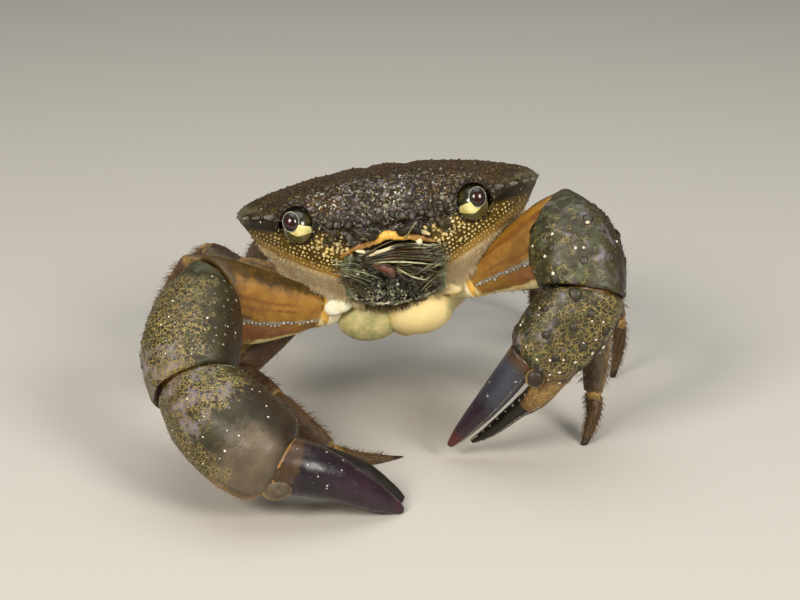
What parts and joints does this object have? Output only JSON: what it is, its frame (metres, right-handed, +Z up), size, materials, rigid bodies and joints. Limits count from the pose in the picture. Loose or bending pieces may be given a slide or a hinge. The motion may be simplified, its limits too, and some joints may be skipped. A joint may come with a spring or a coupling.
{
  "type": "warty crab",
  "caption": "Life-size still model of a warty crab with its nose raised, the heavy claw laid forward on the floor and the lighter claw bent in front, standing on its walking legs.",
  "frame": {"origin": "middle of the whole crab's box, at floor level", "axes": "+Z up, -Y the way the crab faces, +X the crab's left side"},
  "size_m": [0.1356, 0.144, 0.0736],
  "materials": {
    "dorsal_shell": "hard shell, satin, dark brown-olive with fine golden specks",
    "limb_shell": "hard shell, satin, olive with a pale yellow net",
    "orange_shell": "smooth shell, orange-brown with yellow edges",
    "pale_shell": "smooth cream shell",
    "finger_horn": "glossy purple-black finger shell",
    "leg_shell": "brown shell under short stiff bristles",
    "mouthparts": "greenish-white and dark olive mouthparts",
    "cornea": "glossy dark red-brown cornea",
    "eyestalk": "olive eyestalk with pale yellow parts",
    "feeler": "thin pale feelers"
  },
  "bodies": {
    "root": {"abdomen": "pale_shell", "antenna_L": "feeler", "antenna_R": "feeler", "antennule_L": "feeler", "antennule_R": "feeler", "carapace": "dorsal_shell", "claw_carpus_L": "limb_shell", "claw_carpus_R": "limb_shell", "claw_coxa_L": "pale_shell", "claw_coxa_R": "pale_shell", "claw_dactylus_L": "finger_horn", "claw_dactylus_R": "finger_horn", "claw_merus_L": "orange_shell", "claw_merus_R": "orange_shell", "claw_palm_L": "limb_shell", "claw_palm_R": "limb_shell", "eye_L": "cornea", "eye_R": "cornea", "eyestalk_L": "eyestalk", "eyestalk_R": "eyestalk", "leg1_carpus_L": "leg_shell", "leg1_carpus_R": "leg_shell", "leg1_dactylus_L": "leg_shell", "leg1_dactylus_R": "leg_shell", "leg1_merus_L": "leg_shell", "leg1_merus_R": "leg_shell", "leg1_propodus_L": "leg_shell", "leg1_propodus_R": "leg_shell", "leg2_carpus_L": "leg_shell", "leg2_carpus_R": "leg_shell", "leg2_dactylus_L": "leg_shell", "leg2_dactylus_R": "leg_shell", "leg2_merus_L": "leg_shell", "leg2_merus_R": "leg_shell", "leg2_propodus_L": "leg_shell", "leg2_propodus_R": "leg_shell", "leg3_carpus_L": "leg_shell", "leg3_carpus_R": "leg_shell", "leg3_dactylus_L": "leg_shell", "leg3_dactylus_R": "leg_shell", "leg3_merus_L": "leg_shell", "leg3_merus_R": "leg_shell", "leg3_propodus_L": "leg_shell", "leg3_propodus_R": "leg_shell", "leg4_carpus_L": "leg_shell", "leg4_carpus_R": "leg_shell", "leg4_dactylus_L": "leg_shell", "leg4_dactylus_R": "leg_shell", "leg4_merus_L": "leg_shell", "leg4_merus_R": "leg_shell", "leg4_propodus_L": "leg_shell", "leg4_propodus_R": "leg_shell", "maxilliped_L": "mouthparts", "maxilliped_R": "mouthparts", "sternum": "pale_shell"}
  },
  "joints": []
}
